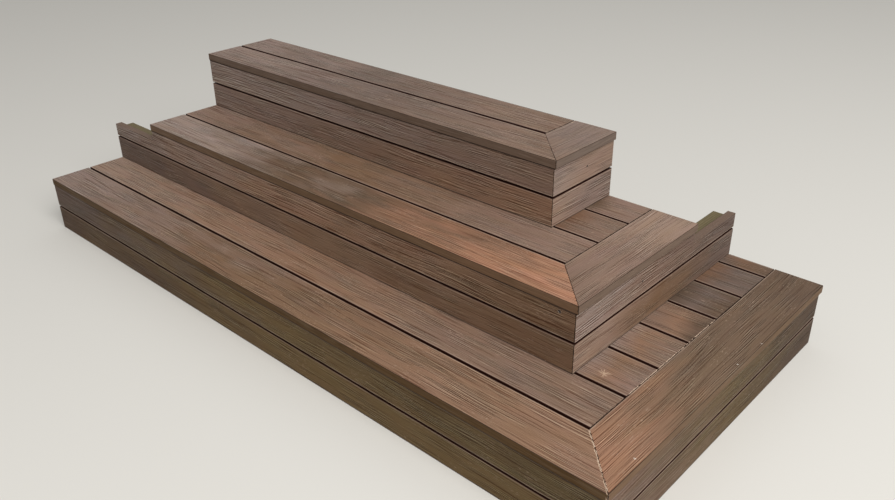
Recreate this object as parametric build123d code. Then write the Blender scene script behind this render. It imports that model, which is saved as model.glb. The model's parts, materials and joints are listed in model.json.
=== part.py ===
from build123d import *
from math import ceil
import os

# Composite entry steps for an inside corner: three treads of edge-grooved boards that turn the
# right-hand corner on mitred nosings, two-board risers below them, and a frame of dressed timber.
# Everything is in millimetres. While the pieces are laid out, x = 0 and y = 0 are the left end and
# the back of the two upper steps, the steps rise from front (-y) to back and face right (+x) too,
# and z = 0 is the base. place() then moves each piece to the centre of the whole footprint.

# Boards
board_width = 137.0
board_thickness = 23.0
board_gap = 5.0
board_arris = 2.0
groove_height = 4.0
groove_depth = 9.0
groove_centre = 10.0

# Steps
level_names = ("bottom", "middle", "top")
rise = 190.0
side_going = 269.0
top_depth = 274.0
top_width = 1521.0
front_nosing = 2.0
side_nosing = 6.0
riser_lap = 8.0  # how far a riser stands over the back edge of the full board below it
bottom_rows = 8  # boards from front to back on the bottom step, its nosing and last strip included
bottom_strip = 60.0  # width that the last of them is ripped to
nosing_mitre_gap = 0.8
butt_gap = 1.5

# Risers
riser_thickness = 23.0
upper_riser_height = 79.0
riser_gap = 5.0
riser_arris = 1.5
riser_mitre_gap = 0.5

# The bottom step and the foot of the middle risers run on past the left end and the back of the
# upper steps. There they keep below the headroom, so the middle risers are notched.
low_run_left = 258.0
headroom = 321.0

# Frame
timber_width = 45.0
timber_arris = 3.0
joist_spacing = 450.0
board_end_gap = 3.0
stub_clearance = 14.0

TOP = len(level_names) - 1
BOTTOM = 0
front_going = 2 * board_width + board_gap - riser_lap - front_nosing
bottom_depth = (bottom_rows - 1) * (board_width + board_gap) + bottom_strip
low_run_back = bottom_depth - top_depth - TOP * front_going
RIGHT_EDGE = top_width + TOP * side_going
FRONT_EDGE = -(top_depth + TOP * front_going)
CENTRE_X = (RIGHT_EDGE - low_run_left) / 2
CENTRE_Y = (FRONT_EDGE + low_run_back) / 2


class Level:
    """Where one step's edges, boards and frame lie."""

    def __init__(self, index):
        steps_above = TOP - index
        self.index = index
        self.name = level_names[index]
        self.front = -(top_depth + steps_above * front_going)
        self.right = top_width + steps_above * side_going
        self.foot = index * rise
        self.underside = self.foot + rise - board_thickness
        self.frame_foot = 0.0 if index == BOTTOM else self.foot - board_thickness
        self.left = -low_run_left if index == BOTTOM else 0.0
        self.back = low_run_back if index == BOTTOM else 0.0
        self.front_riser_face = self.front + front_nosing
        self.side_riser_face = self.right - side_nosing
        self.frame_front = self.front_riser_face + riser_thickness
        self.frame_right = self.side_riser_face - riser_thickness

    def passes_notch(self):
        """True where the risers run on under the headroom: all but those of the top step."""
        return self.index < TOP


levels = [Level(index) for index in range(len(level_names))]


# Sections and the two ways a length of one is laid

def board_section(width, grooved_near=True, grooved_far=True):
    """A board seen on end: eased arrises, and a clip groove in each edge that has one."""
    section = fillet(Rectangle(width, board_thickness, align=Align.MIN).vertices(), board_arris)
    near = Rectangle(groove_depth, groove_height, align=(Align.MIN, Align.CENTER))
    far = Rectangle(groove_depth, groove_height, align=(Align.MAX, Align.CENTER))
    if grooved_near:
        section -= Pos(0, groove_centre) * near
    if grooved_far:
        section -= Pos(width, groove_centre) * far
    return section


def plain_section(width, height, arris):
    """A riser board or a timber seen on end, with eased arrises."""
    return fillet(Rectangle(width, height, align=Align.MIN).vertices(), arris)


def along_x(section, x_start, x_end, y_near, z_low):
    """A length from left to right, its section reaching back from y_near and up from z_low."""
    end = Plane(origin=(x_start, y_near, z_low), x_dir=(0, 1, 0), z_dir=(1, 0, 0))
    return extrude(end * section, amount=x_end - x_start)


def along_y(section, y_start, y_end, x_near, z_low):
    """A length from front to back, its section reaching left from x_near and up from z_low."""
    end = Plane(origin=(x_near, y_start, z_low), x_dir=(-1, 0, 0), z_dir=(0, 1, 0))
    return extrude(end * section, amount=y_end - y_start)


def mitred(piece, corner_x, corner_y, gap, is_front):
    """The piece cut at 45 degrees through the outer corner, half the gap short of the mitre."""
    mitre = Plane(origin=(corner_x, corner_y, 0), z_dir=(1, 1, 0))
    if is_front:
        return split(piece, bisect_by=mitre.offset(-gap / 2), keep=Keep.BOTTOM)
    return split(piece, bisect_by=mitre.offset(gap / 2), keep=Keep.TOP)


# Treads

def front_border(level):
    """The nosing board along the front, grooved at its inner edge only."""
    section = board_section(board_width, grooved_near=False)
    board = along_x(section, level.left, level.right, level.front, level.underside)
    return mitred(board, level.right, level.front, nosing_mitre_gap, is_front=True)


def side_border(level):
    """The nosing board down the right side, mitred to the front one."""
    section = board_section(board_width, grooved_near=False)
    board = along_y(section, level.front, level.back, level.right, level.underside)
    return mitred(board, level.right, level.front, nosing_mitre_gap, is_front=False)


def tread_boards(level):
    """The boards behind the front nosing. Below another step only the first has its full length,
    and the rest start at that step's frame. The last is ripped to the width that is left."""
    pitch = board_width + board_gap
    right_end = level.right - board_width - butt_gap
    boards = []
    near = level.front + pitch
    while near < level.back - board_gap:
        width = min(board_width, level.back - near)
        is_last = near + pitch >= level.back - board_gap
        section = board_section(width, grooved_far=not is_last)
        is_full = level.index == TOP or not boards
        left_end = level.left if is_full else levels[level.index + 1].frame_right + board_end_gap
        boards.append(along_x(section, left_end, right_end, near, level.underside))
        near += pitch
    return boards


# Risers

def block(low, high):
    """The box between two opposite corners."""
    sides = [far - near for near, far in zip(low, high)]
    return Pos(*low) * Box(*sides, align=Align.MIN)


def riser_row(level, z_low, z_high):
    """The front and the side board between two heights, notched where they pass the headroom."""
    height = z_high - z_low
    section = plain_section(riser_thickness, height, riser_arris)
    left_end = -low_run_left if level.passes_notch() else 0.0
    back_end = low_run_back if level.passes_notch() else 0.0
    corner_x = level.side_riser_face
    corner_y = level.front_riser_face
    front = along_x(section, left_end, corner_x, corner_y, z_low)
    side = along_y(section, corner_y, back_end, corner_x, z_low)
    front = mitred(front, corner_x, corner_y, riser_mitre_gap, is_front=True)
    side = mitred(side, corner_x, corner_y, riser_mitre_gap, is_front=False)
    if level.passes_notch() and z_high > headroom:
        front -= block((-low_run_left, FRONT_EDGE, headroom), (0, 0, z_high))
        side -= block((0, 0, headroom), (RIGHT_EDGE, low_run_back, z_high))
    return front, side


def riser_rows(level):
    """Both rows of a riser by name: the upper board has its own height, the lower what is left."""
    split_height = level.underside - upper_riser_height
    return {
        "lower": riser_row(level, level.foot, split_height - riser_gap),
        "upper": riser_row(level, split_height, level.underside),
    }


# Frame

def bearer(level, y_near):
    """A timber from end to end of a step's frame."""
    section = plain_section(timber_width, level.underside - level.frame_foot, timber_arris)
    return along_x(section, level.left, level.frame_right, y_near, level.frame_foot)


def joist_centres(level):
    """The left end, the right rim, one under each line where boards end, and even ones between."""
    left_end = level.left + timber_width / 2
    right_rim = level.frame_right - timber_width / 2
    under_border = level.right - board_width - butt_gap / 2
    fixed = [under_border, right_rim]
    if level.index < TOP:
        fixed.insert(0, levels[level.index + 1].frame_right)
    bays = ceil((fixed[0] - left_end) / joist_spacing)
    even = [left_end + bay * (fixed[0] - left_end) / bays for bay in range(bays)]
    return even + fixed


def joists(level):
    """The timbers from the front bearer to the rear one."""
    section = plain_section(timber_width, level.underside - level.frame_foot, timber_arris)
    y_start = level.frame_front + timber_width
    y_end = level.back - timber_width
    return Compound([
        along_y(section, y_start, y_end, centre + timber_width / 2, level.frame_foot).solid()
        for centre in joist_centres(level)
    ])


def stubs(level):
    """The low timbers that carry the notched risers past the frame: at the front and at the side."""
    height = headroom - stub_clearance - level.frame_foot
    section = plain_section(timber_width, height, timber_arris)
    front = along_x(section, -low_run_left, level.left, level.frame_front, level.frame_foot)
    side = along_y(section, level.back, low_run_back, level.frame_right, level.frame_foot)
    return front, side


# Writing

def place(shape):
    """The shape moved from the layout corner to the centre of the footprint."""
    return Pos(-CENTRE_X, -CENTRE_Y, 0) * shape


def write(name, shape):
    """One node's file."""
    export_step(place(shape), f"parts/{name}.step")


def write_level(level):
    """All the nodes of one step."""
    name = level.name
    write(f"{name}_front_nosing", front_border(level))
    write(f"{name}_side_nosing", side_border(level))
    for number, board in enumerate(tread_boards(level), start=1):
        write(f"{name}_tread_board_{number}", board)
    for row_name, (front, side) in riser_rows(level).items():
        write(f"{name}_front_riser_{row_name}", front)
        write(f"{name}_side_riser_{row_name}", side)
    write(f"{name}_front_bearer", bearer(level, level.frame_front))
    write(f"{name}_rear_bearer", bearer(level, level.back - timber_width))
    write(f"{name}_joists", joists(level))
    if BOTTOM < level.index < TOP:
        front_stub, side_stub = stubs(level)
        write(f"{name}_front_stub", front_stub)
        write(f"{name}_side_stub", side_stub)


os.makedirs("parts", exist_ok=True)
for step in levels:
    write_level(step)
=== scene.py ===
"""Finishes and small parts of the composite entry steps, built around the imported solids.

The boards are wood-plastic composite with an embossed grain, and the frame is dressed treated pine. The
solids stay as they are and each gets its own finish. Added to them is what is too small for the solids: the
hidden clips with their screws, the screws of the frame and of one riser, two nail holes and the chips that
the saw tore up along the cuts. Lengths are in metres unless a name ends in mm, and the place of every piece
is worked out from the frame.
"""

import json
import logging
import math
from abc import ABC, abstractmethod
from collections.abc import Sequence
from dataclasses import dataclass, field, fields
from enum import Enum
from typing import Any

import bpy
from bpy.types import Material, Node, NodeSocket, NodeTree
from mathutils import Euler, Matrix, Vector

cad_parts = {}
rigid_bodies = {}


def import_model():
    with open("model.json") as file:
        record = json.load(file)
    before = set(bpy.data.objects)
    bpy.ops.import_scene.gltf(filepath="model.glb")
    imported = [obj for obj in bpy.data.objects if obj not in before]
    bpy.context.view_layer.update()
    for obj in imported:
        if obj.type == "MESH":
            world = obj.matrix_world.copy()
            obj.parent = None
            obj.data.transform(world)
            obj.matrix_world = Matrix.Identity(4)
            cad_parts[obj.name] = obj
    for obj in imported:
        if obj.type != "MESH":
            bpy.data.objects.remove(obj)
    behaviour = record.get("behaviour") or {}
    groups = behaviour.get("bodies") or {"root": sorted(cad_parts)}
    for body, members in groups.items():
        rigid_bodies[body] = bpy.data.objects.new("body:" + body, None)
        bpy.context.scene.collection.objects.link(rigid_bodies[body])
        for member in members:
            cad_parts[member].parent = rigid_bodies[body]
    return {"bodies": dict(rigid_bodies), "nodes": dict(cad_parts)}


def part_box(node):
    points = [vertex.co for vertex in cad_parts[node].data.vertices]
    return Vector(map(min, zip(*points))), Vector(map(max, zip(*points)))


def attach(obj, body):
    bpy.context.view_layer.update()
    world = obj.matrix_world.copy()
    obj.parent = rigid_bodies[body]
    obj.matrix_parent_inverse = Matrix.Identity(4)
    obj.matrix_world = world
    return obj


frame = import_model()

log = logging.getLogger("entry_steps")

Source = Node | NodeSocket
Colour = tuple[float, float, float, float]
Triple = tuple[float, float, float]

MATH = "ShaderNodeMath"
VECTOR_MATH = "ShaderNodeVectorMath"
MAP_RANGE = "ShaderNodeMapRange"
RAMP = "ShaderNodeValToRGB"
NOISE = "ShaderNodeTexNoise"
MIX = "ShaderNodeMix"

MM = 0.001
RNG_SEED = 7
UP = Vector((0.0, 0.0, 1.0))
FRONT = Vector((0.0, -1.0, 0.0))
BACK = Vector((0.0, 1.0, 0.0))
RIGHT = Vector((1.0, 0.0, 0.0))


# Nodes and colours

def linear(srgb_hex: str) -> Colour:
    """Turns a colour to linear light.

    Args:
        srgb_hex: The colour in sRGB, as #rrggbb.

    Returns:
        Its red, green and blue, and an alpha of 1.
    """
    channels = [int(srgb_hex[at:at + 2], 16) / 255 for at in (1, 3, 5)]
    red, green, blue = (
        channel / 12.92 if channel <= 0.04045 else ((channel + 0.055) / 1.055) ** 2.4 for channel in channels
    )
    return (red, green, blue, 1.0)


def pick(sockets: Any, key: int | str) -> NodeSocket:
    """Finds a socket of a node.

    Args:
        sockets: The node's inputs or outputs.
        key: The socket's index, or its name.

    Returns:
        The socket at the index, or the one in use that has the name.
    """
    if isinstance(key, int):
        return sockets[key]
    return next(item for item in sockets if item.name == key and item.enabled)


def add_node(
    tree: NodeTree,
    kind: str,
    inputs: dict[int | str, Any] | None = None,
    stops: Sequence[tuple[float, str]] = (),
    **settings: Any,
) -> Node:
    """Adds a node, makes its settings and fills its inputs.

    Args:
        tree: The node tree.
        kind: The node's type name.
        inputs: What goes into each input: a value, a socket, a node or a list of nodes. A node stands for
            its first output.
        stops: Places and sRGB colours on the node's colour ramp, where it has one.
        settings: The node's own properties.

    Returns:
        The new node.
    """
    node = tree.nodes.new(kind)
    for name, value in settings.items():
        setattr(node, name, value)
    for key, given in (inputs or {}).items():
        for value in given if isinstance(given, list) else [given]:
            if isinstance(value, Node):
                value = next(item for item in value.outputs if item.enabled)
            if isinstance(value, NodeSocket):
                tree.links.new(value, pick(node.inputs, key))
            else:
                pick(node.inputs, key).default_value = value
    for index, (place, colour) in enumerate(stops):
        ramp = node.color_ramp.elements
        stop = ramp[index] if index < 2 else ramp.new(place)
        stop.position = place
        stop.color = linear(colour)
    return node


def new_material(name: str) -> tuple[Material, NodeTree]:
    """Makes an empty material.

    Args:
        name: Its name.

    Returns:
        The material and its tree, without any node.
    """
    material = bpy.data.materials.new(name)
    material.use_nodes = True
    material.node_tree.nodes.clear()
    return material, material.node_tree


# Board finish

class Lay(Enum):
    """How a board lies: the turn in degrees that brings its length to X and its show face up to Z."""

    TREAD_ACROSS = (0.0, 0.0, 0.0)
    TREAD_DEEP = (0.0, 0.0, -90.0)
    RISER_FRONT = (-90.0, 0.0, 0.0)
    RISER_SIDE = (-90.0, -90.0, 0.0)

    @property
    def turn(self) -> Triple:
        """The turn in radians."""
        return tuple(math.radians(angle) for angle in self.value)


class Tone(Enum):
    """Browns that a board of this make drifts between along its length, a few with painted light or shade.
    """

    ASH = "#968277"
    SILVERED = "#937a6a"
    TERRACOTTA = "#a6785e"
    DRIFTWOOD = "#887368"
    TAUPE = "#856c5e"
    HAZEL = "#967661"
    CEDAR = "#966f57"
    SEPIA = "#866c58"
    ROSEWOOD = "#896a55"
    DUSTY = "#826e63"
    FAWN = "#7e6657"
    CHESTNUT = "#775c47"
    # Brown with painted green bounce light from grass
    DAMP = "#776041"
    WALNUT = "#6d5b51"
    RUSSET = "#745744"
    LOAM = "#6f5a48"
    # Darker brown with painted green bounce light from grass
    MOSSY = "#68553b"
    PEAT = "#66503f"
    UMBER = "#614d3e"
    # Partly painted shade, for the back and the far ends of the bottom step
    BARK = "#544336"


@dataclass(frozen=True)
class Look:
    """How one board looks.

    Its tones follow each other from left to right, or from front to back. Grain is how far its fine lines
    stand out, and figure how far the cathedral ridges do.
    """

    near: Tone
    middle: Tone
    far: Tone
    grain: float
    figure: float


@dataclass(frozen=True)
class CutLine:
    """A ragged line where a saw cut crosses a board's face: torn pale, or dark with dirt and painted shade.

    The line lies in the plane of points p with normal . p = offset, and fades out over the width. It is
    whole at a sparseness of -0.3, ragged at 0.6 and down to a few spots at 1.3.
    """

    normal: Triple
    offset: float
    width_mm: float
    colour: str
    amount: float
    sparseness: float


@dataclass(frozen=True)
class Scuff:
    """A spot where the skin of a board is scratched pale."""

    place: Triple
    radius_mm: float
    amount: float
    colour: str
    sparseness: float = 0.7


SMOOTH = "#bcbcbc"
WEATHERED = "#7d7064"
FLECK = "#b89f8a"
# Pale worn arrises, partly a painted highlight where the arris catches light
TORN = "#c9ad93"
BARE = "#efe4d6"
RUBBED_AND_HIGHLIGHT = "#b59d8b"
# Dark lines along cuts and joints: dirt, and painted shade under nosings, in mitres and where parts meet
DIRT_AND_SHADE = "#170500"
# Dirt and painted shade on the edges inside the gaps
GAP_DIRT_AND_SHADE = "#280d04"
# Painted shade on the rounded outer arris of a nosing
PAINTED_ARRIS_SHADE = "#32241a"
PLAIN_EDGE = "#5a4636"


class LaidTree:
    """A board's material tree, and coordinates with the board's length along X and its show face up.

    The seeded ones are moved by the board's own seed. The flowing ones are also swayed, so that the lines
    drawn on them run a little out of true.
    """

    seed_step: Triple = (7.31, 1.37, 0.73)
    sway: Triple = (0.0, 22 * MM, 8 * MM)
    apart_share: float = 0.6

    def __init__(self, tree: NodeTree, lay: Lay, seed: float) -> None:
        """Adds the nodes of the coordinates.

        Args:
            tree: The material's tree.
            lay: How the board lies.
            seed: The board's own seed.
        """
        self.tree = tree
        spot = add_node(tree, "ShaderNodeTexCoord")
        self.place = spot.outputs["Object"]
        self.plain, facing = (
            add_node(tree, "ShaderNodeMapping", {"Vector": spot.outputs[name], "Rotation": lay.turn})
            for name in ("Object", "Normal")
        )
        self.facing = add_node(tree, "ShaderNodeSeparateXYZ", {0: facing}).outputs
        offset = tuple(seed * step for step in self.seed_step)
        self.seeded = add_node(tree, VECTOR_MATH, {0: self.plain, 1: offset}, operation="ADD")
        swaying = self.noise(self.seeded, 380, 110, detail=1.0).outputs["Color"]
        self.flowing = add_node(tree, VECTOR_MATH, {
            0: swaying, 1: self.sway, 2: self.seeded,
        }, operation="MULTIPLY_ADD")

    def noise(self, place: Source, length_mm: float, width_mm: float, detail: float = 2.0) -> Node:
        """Adds soft noise.

        Args:
            place: Coordinates with the board's length along X.
            length_mm: How long its marks are.
            width_mm: How wide they are.
            detail: How many finer octaves lie on them.

        Returns:
            The noise node.
        """
        scale = (1000 / length_mm, 1000 / width_mm, 1000 / width_mm)
        spread = add_node(self.tree, VECTOR_MATH, {0: place, 1: scale}, operation="MULTIPLY")
        return add_node(self.tree, NOISE, {
            "Vector": spread, "Scale": 1.0, "Detail": detail, "Roughness": 0.6,
        })

    def patches(
        self, place: Source, size_mm: tuple[float, float], rim: tuple[float, float],
        values: tuple[float, float] = (0.0, 1.0), detail: float = 2.0,
    ) -> Node:
        """Adds patches with soft rims.

        Args:
            place: Coordinates with the board's length along X.
            size_mm: How long and how wide the patches are.
            rim: The noise at the outside and at the inside of a patch's rim.
            values: What is given around the patches, and inside their rims.
            detail: How many finer octaves lie on them.

        Returns:
            The node that gives the patches.
        """
        return add_node(self.tree, MAP_RANGE, {
            "Value": self.noise(place, *size_mm, detail), "From Min": rim[0], "From Max": rim[1],
            "To Min": values[0], "To Max": values[1],
        })

    def hairlines(self, length_mm: float, width_mm: float) -> Node:
        """Adds fine lines along the board, each pale one with a dark one beside it.

        Args:
            length_mm: How long the lines are.
            width_mm: How wide a pair is.

        Returns:
            The node that gives their height round 0: soft noise less the same noise moved aside.
        """
        apart = (0.0, self.apart_share * width_mm * MM, 0.0)
        aside = add_node(self.tree, VECTOR_MATH, {0: self.flowing, 1: apart}, operation="ADD")
        near = self.noise(self.flowing, length_mm, width_mm, detail=0.0)
        far = self.noise(aside, length_mm, width_mm, detail=0.0)
        return add_node(self.tree, MATH, {0: near, 1: far}, operation="SUBTRACT")


@dataclass(frozen=True)
class BoardFinish:
    """Solid wood-plastic composite, extruded, then embossed with a grain by a heated roller.

    Wood flour in polyethylene gives a matt, slightly waxy brown. Streaks of dark and pale compound run along
    each board, the roller leaves fine ridges with cathedral figure in patches, sun greys the skin in soft
    blotches, feet wear the arrises pale and a painted highlight lies on them, and dirt and painted shade
    blacken the edges inside the gaps.
    """

    name: str
    lay: Lay
    look: Look
    low: Vector
    high: Vector
    seed: float
    is_nosing: bool
    line_mm: float
    soiled_mm: float
    edge_colour: str
    lines: tuple[CutLine, ...]
    scuffs: tuple[Scuff, ...]
    ridge_mm: float = 8.0
    rubbed_mm: float = 4.0
    edge_mm: float = 4.0
    sawn_bite_per_m: float = 190.0
    flour_per_m: float = 900.0

    def build(self) -> Material:
        """Builds the material.

        Returns:
            The material, its patterns worked out from real lengths and widths in millimetres.
        """
        material, tree = new_material(f"composite_board_{self.name}")
        at = LaidTree(tree, self.lay, self.seed)
        relief = self._relief(at)
        grained = self._grained_colour(at, self._body_colour(at), relief)
        colour = self._marked_colour(at, self._edged_colour(at, grained))
        # The roller marks the show face, and the others stay almost smooth
        show = add_node(tree, MAP_RANGE, {
            "Value": at.facing["Z"], "From Min": 0.3, "From Max": 0.8, "To Min": 0.12,
        })
        height = add_node(tree, MATH, {0: relief, 1: show}, operation="MULTIPLY")
        bump = add_node(tree, "ShaderNodeBump", {"Height": height, "Strength": 0.8, "Distance": 2.0 * MM})
        roughness = add_node(tree, MAP_RANGE, {"Value": relief, "To Min": 0.8, "To Max": 0.55})
        shader = add_node(tree, "ShaderNodeBsdfPrincipled", {
            "Base Color": colour, "Roughness": roughness, "Normal": bump, "IOR": 1.5,
            "Specular IOR Level": 0.18,
        })
        add_node(tree, "ShaderNodeOutputMaterial", {"Surface": shader})
        return material

    def _span(self, axis: int) -> list[float]:
        """Where the board starts and ends along one axis, as it is laid."""
        turn = Euler(self.lay.turn).to_matrix()
        return sorted((turn @ corner)[axis] for corner in (self.low, self.high))

    def _body_colour(self, at: LaidTree) -> Node:
        """Adds the colour that drifts along the board between its tones, greyed in soft blotches.

        Args:
            at: The board's tree.

        Returns:
            The node that gives the colour.
        """
        tree = at.tree
        start, end = self._span(0)
        apart = add_node(tree, "ShaderNodeSeparateXYZ", {0: at.plain})
        along = add_node(tree, MAP_RANGE, {"Value": apart.outputs["X"], "From Min": start, "From Max": end})
        # Noise round 0.5 moves the tones back and forth along the board
        drift = at.noise(at.seeded, 240, 80)
        mixed = add_node(tree, MATH, {0: drift, 1: 0.7, 2: along}, operation="MULTIPLY_ADD")
        shifted = add_node(tree, MATH, {0: mixed, 1: 0.35}, operation="SUBTRACT")
        toned = add_node(tree, RAMP, {0: shifted}, (
            (0.08, self.look.near.value), (0.92, self.look.far.value), (0.5, self.look.middle.value),
        ))
        blotch = at.patches(at.seeded, (150, 30), (0.46, 0.68), (0.0, 0.1), detail=3.0)
        greyed = add_node(tree, MIX, {
            "Factor": blotch, "A": toned, "B": linear(WEATHERED),
        }, data_type="RGBA")
        # Red and blue waver a little, from pinkish to greenish
        hue = add_node(tree, VECTOR_MATH, {
            0: at.noise(at.seeded, 140, 34).outputs["Color"], 1: (0.11, 0.0, 0.19), 2: (0.945, 1.0, 0.905),
        }, operation="MULTIPLY_ADD")
        return add_node(tree, VECTOR_MATH, {0: greyed, 1: hue}, operation="MULTIPLY")

    def _relief(self, at: LaidTree) -> Node:
        """Adds the embossed surface.

        Args:
            at: The board's tree.

        Returns:
            The node that gives the height, from 0 in a pore to 1 on a ridge.
        """
        tree = at.tree
        figure = self.look.figure
        # Fibres are hairlines, some pale and some dark, on smooth board
        # They are about 1 mm wide on the real board, and drawn wider here so that they show
        paired = at.hairlines(70 + 50 * figure, self.line_mm)
        hairline = add_node(tree, RAMP, {0: add_node(tree, MATH, {0: paired, 1: 0.5})}, (
            (0.27, "#000000"), (0.73, "#ffffff"), (0.45, SMOOTH), (0.55, SMOOTH),
        ))
        fibre = add_node(tree, MATH, {0: hairline, 1: 1.1, 2: -0.55}, operation="MULTIPLY_ADD")
        # Ridges lie evenly across the board, and a long soft swell draws them together and apart
        swell = at.noise(at.seeded, 620, 34, detail=0.6)
        across = add_node(tree, "ShaderNodeSeparateXYZ", {0: at.flowing}).outputs["Y"]
        even = add_node(tree, MATH, {0: across, 1: self.ridge_mm * MM}, operation="DIVIDE")
        counted = add_node(tree, MATH, {0: swell, 1: 4.0, 2: even}, operation="MULTIPLY_ADD")
        phase = add_node(tree, MATH, {0: counted}, operation="FRACT")
        # Each is a thin crest with a thin groove beside it, in smooth board
        profile = add_node(tree, RAMP, {0: phase}, (
            (0.4, SMOOTH), (1.0, SMOOTH), (0.5, "#ffffff"), (0.6, "#ffffff"), (0.68, "#000000"),
            (0.78, "#000000"), (0.88, SMOOTH),
        ))
        crest = add_node(tree, MATH, {0: profile, 1: 1.1, 2: -0.55}, operation="MULTIPLY_ADD")
        # They come in patches and fade out along their length
        patch = at.patches(at.seeded, (210, 55), (0.45, 0.57), (0.1 * figure, figure), detail=1.0)
        unbroken = at.patches(at.seeded, (240, 13), (0.4, 0.56), (0.08, 1.0), detail=1.0)
        strength = add_node(tree, MATH, {0: patch, 1: unbroken}, operation="MULTIPLY")
        ridged = add_node(tree, MATH, {0: crest, 1: strength, 2: fibre}, operation="MULTIPLY_ADD")
        # Between the clusters of lines the roller left the board smooth
        cluster = at.patches(at.seeded, (150, 30), (0.44, 0.58), (0.15, 1.0), detail=3.0)
        clustered = add_node(tree, MATH, {0: ridged, 1: cluster, 2: 0.5}, operation="MULTIPLY_ADD")
        # A few long thin pores cut through both
        pore = at.patches(at.flowing, (230, 3.2), (0.36, 0.27), (0.0, 0.3), detail=0.0)
        return add_node(tree, MATH, {0: clustered, 1: pore}, operation="SUBTRACT")

    def _grained_colour(self, at: LaidTree, body: Node, relief: Node) -> Node:
        """Adds the streaks, bands and flecks to the body colour.

        Args:
            at: The board's tree.
            body: The drifting body colour.
            relief: Height of the emboss, which the streaks follow.

        Returns:
            The node that gives the colour.
        """
        tree = at.tree
        grain = self.look.grain
        plain = 1.04
        # Ridges show pale more than pores show dark
        ridged, pored = (
            add_node(tree, MAP_RANGE, {
                "Value": relief, "From Min": 0.5, "From Max": 0.5 + reach, "To Min": plain,
                "To Max": plain + change * grain,
            }, clamp=False)
            for reach, change in ((0.25, 0.58), (-0.25, -0.4))
        )
        shade = add_node(tree, MATH, {0: ridged, 1: pored}, operation="MAXIMUM")
        # Short dashes lie among the long lines, and soft bands under both
        dashes = at.hairlines(6, self.line_mm)
        narrow, broad = (
            add_node(tree, MATH, {0: noise, 1: 0.5}, operation="SUBTRACT")
            for noise in (at.noise(at.flowing, 150, 12, detail=1.0), at.noise(at.seeded, 130, 22))
        )
        layers = ((dashes, (0.5 - 0.1 * self.look.figure) * grain), (narrow, 0.05), (broad, 0.16))
        for layer, strength in layers:
            shade = add_node(tree, MATH, {0: layer, 1: strength, 2: shade}, operation="MULTIPLY_ADD")
        # Pores are browner as well as darker, and ridges greyer
        # The ramp holds half of each shade, so that it can go above 1
        halved = add_node(tree, MATH, {0: shade, 1: 0.5}, operation="MULTIPLY")
        half_tint = add_node(tree, RAMP, {0: halved}, ((0.25, "#8b7e75"), (1.0, "#edfbff"), (0.5, SMOOTH)))
        tinted = add_node(tree, VECTOR_MATH, {0: body, 1: half_tint}, operation="MULTIPLY")
        marked = add_node(tree, VECTOR_MATH, {0: tinted, "Scale": 2.0}, operation="SCALE")
        most = min(0.5 * grain, 0.4)
        cluster = at.patches(at.seeded, (110, 45), (0.5, 0.64), (0.0, most), detail=1.0)
        pale = at.patches(at.flowing, (11, 2.4), (0.66, 0.76), detail=0.0)
        fleck = add_node(tree, MATH, {0: pale, 1: cluster}, operation="MULTIPLY")
        return add_node(tree, MIX, {"Factor": fleck, "A": marked, "B": linear(FLECK)}, data_type="RGBA")

    def _edged_colour(self, at: LaidTree, grained: Node) -> Node:
        """Adds worn arrises with a painted highlight, the nosing's plain outer edge, gaps darkened by dirt
        and painted shade, and sawn ends.

        Args:
            at: The board's tree.
            grained: The colour of the show face.

        Returns:
            The node that gives the colour.
        """
        tree = at.tree
        low, high = self._span(1)
        half = (high - low) / 2
        across = add_node(tree, "ShaderNodeSeparateXYZ", {0: at.plain}).outputs["Y"]
        off_centre = add_node(tree, MATH, {0: across, 1: (low + high) / 2}, operation="SUBTRACT")
        reach = add_node(tree, MATH, {0: off_centre}, operation="ABSOLUTE")
        # A nosing's outer arris gets its painted shade below, not the rubbed band and its painted highlight
        gap_reach = off_centre if self.is_nosing else reach
        clear_of_gap = half - self.soiled_mm * MM
        # A pale band along each gap's arris: wear and a painted highlight
        rubbed_and_highlight = add_node(tree, MAP_RANGE, {
            "Value": gap_reach, "From Min": clear_of_gap - self.rubbed_mm * MM, "From Max": clear_of_gap - 0.8 * MM,
            "To Max": 0.85,
        })
        patchy = add_node(tree, MATH, {0: rubbed_and_highlight, 1: at.noise(at.flowing, 60, 4)}, operation="MULTIPLY")
        coloured = add_node(tree, MIX, {
            "Factor": patchy, "A": grained, "B": linear(RUBBED_AND_HIGHLIGHT),
        }, data_type="RGBA")
        if self.is_nosing:
            coloured = self._nosing_edge(at, coloured)
            inward = at.facing["Y"]
        else:
            inward = add_node(tree, MATH, {0: at.facing["Y"]}, operation="ABSOLUTE")
        # The edges inside the gaps go dark: dirt and painted shade
        gap_dirt_and_shade_mask = add_node(tree, MAP_RANGE, {
            "Value": gap_reach, "From Min": clear_of_gap, "From Max": clear_of_gap + 1 * MM,
        })
        with_gap_dirt_and_shade = add_node(tree, MIX, {
            "Factor": gap_dirt_and_shade_mask, "A": coloured, "B": linear(GAP_DIRT_AND_SHADE),
        }, data_type="RGBA")
        # The core shows where the board is sawn: on its ends, and on faces that lie inside its moulded edges
        is_edge = add_node(tree, MATH, {0: reach, 1: half - self.edge_mm * MM}, operation="GREATER_THAN")
        end = add_node(tree, MATH, {0: at.facing["X"]}, operation="ABSOLUTE")
        sawn_away = add_node(tree, MATH, {0: inward, 1: is_edge}, operation="SUBTRACT")
        sawn = add_node(tree, MATH, {0: end, 1: sawn_away}, operation="MAXIMUM")
        cut = add_node(tree, MAP_RANGE, {"Value": sawn, "From Min": 0.45, "From Max": 0.6})
        flour = add_node(tree, NOISE, {"Vector": at.flowing, "Scale": self.flour_per_m, "Detail": 2.0})
        core = add_node(tree, RAMP, {0: flour}, ((0.3, "#54433a"), (0.7, "#7d6859")))
        return add_node(tree, MIX, {"Factor": cut, "A": with_gap_dirt_and_shade, "B": core}, data_type="RGBA")

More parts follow.
